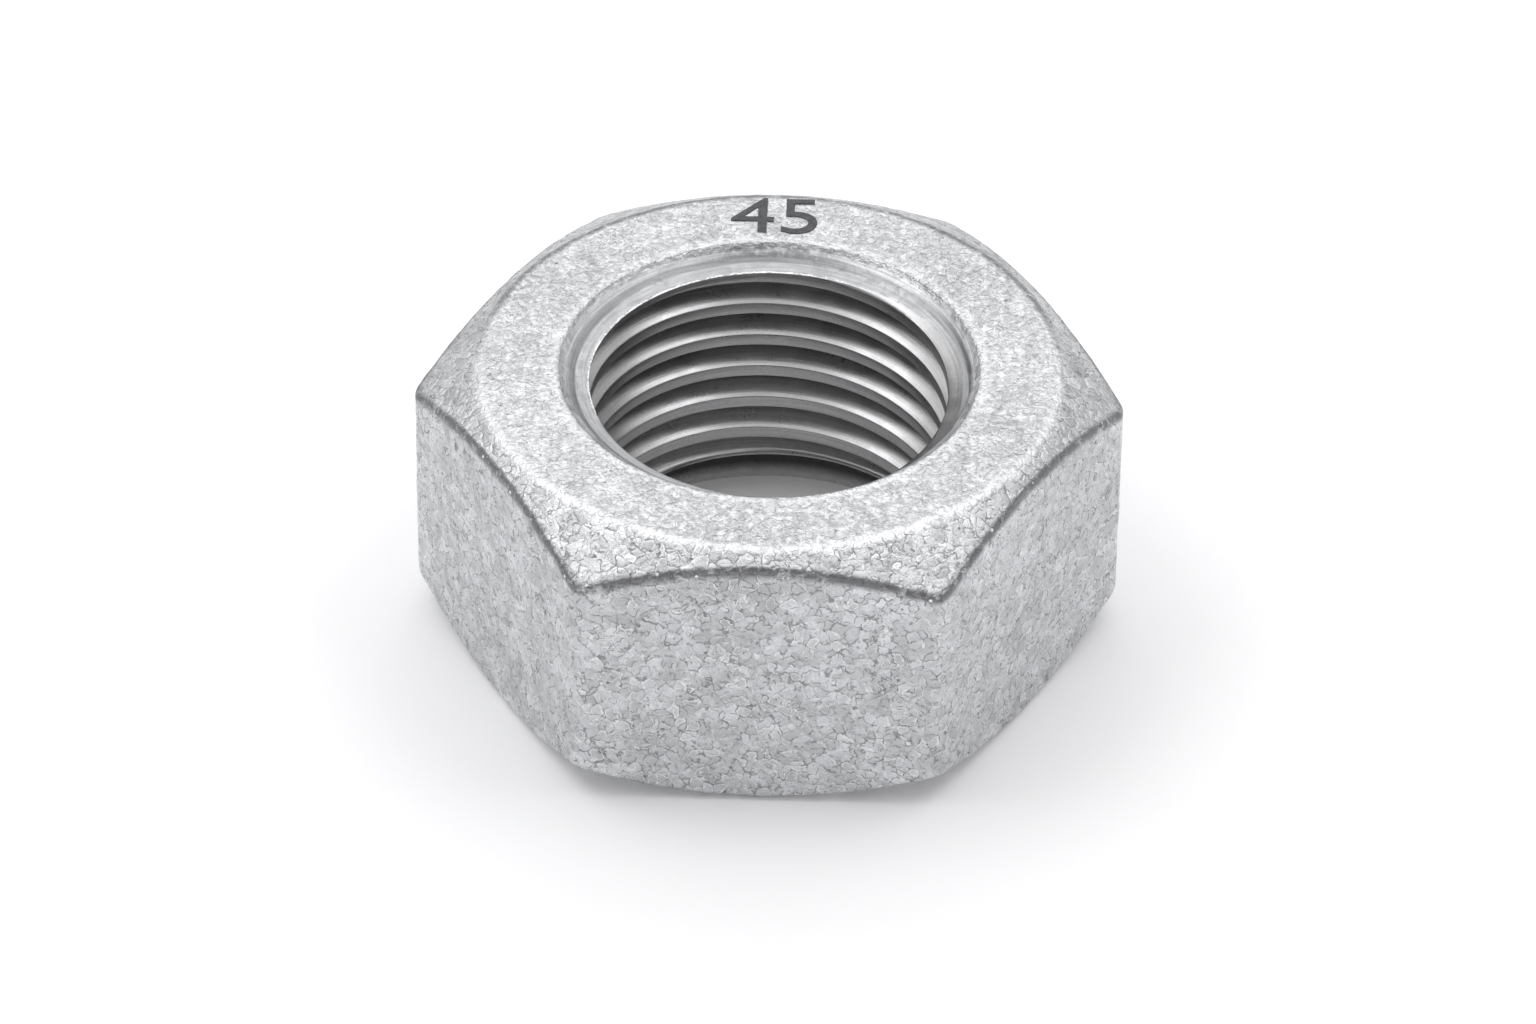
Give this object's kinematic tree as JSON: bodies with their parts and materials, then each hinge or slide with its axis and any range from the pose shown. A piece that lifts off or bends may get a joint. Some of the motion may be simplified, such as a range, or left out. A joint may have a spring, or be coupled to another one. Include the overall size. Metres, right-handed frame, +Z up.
{
  "type": "heavy hex nut",
  "caption": "Large galvanised hexagon nut, chamfered on both faces, with countersunk ends and a coarse right-hand metric thread.",
  "frame": {"origin": "on the thread axis, in the plane of the bearing face underneath", "axes": "+Z up along the thread axis, flats facing -Y and +Y, corners on -X and +X"},
  "size_m": [0.08, 0.07, 0.0344],
  "materials": {
    "galvanised_steel": "hot-dip galvanised, pale silver with a fine spangle, satin in the thread"
  },
  "bodies": {
    "root": {"nut": "galvanised_steel"}
  },
  "joints": []
}
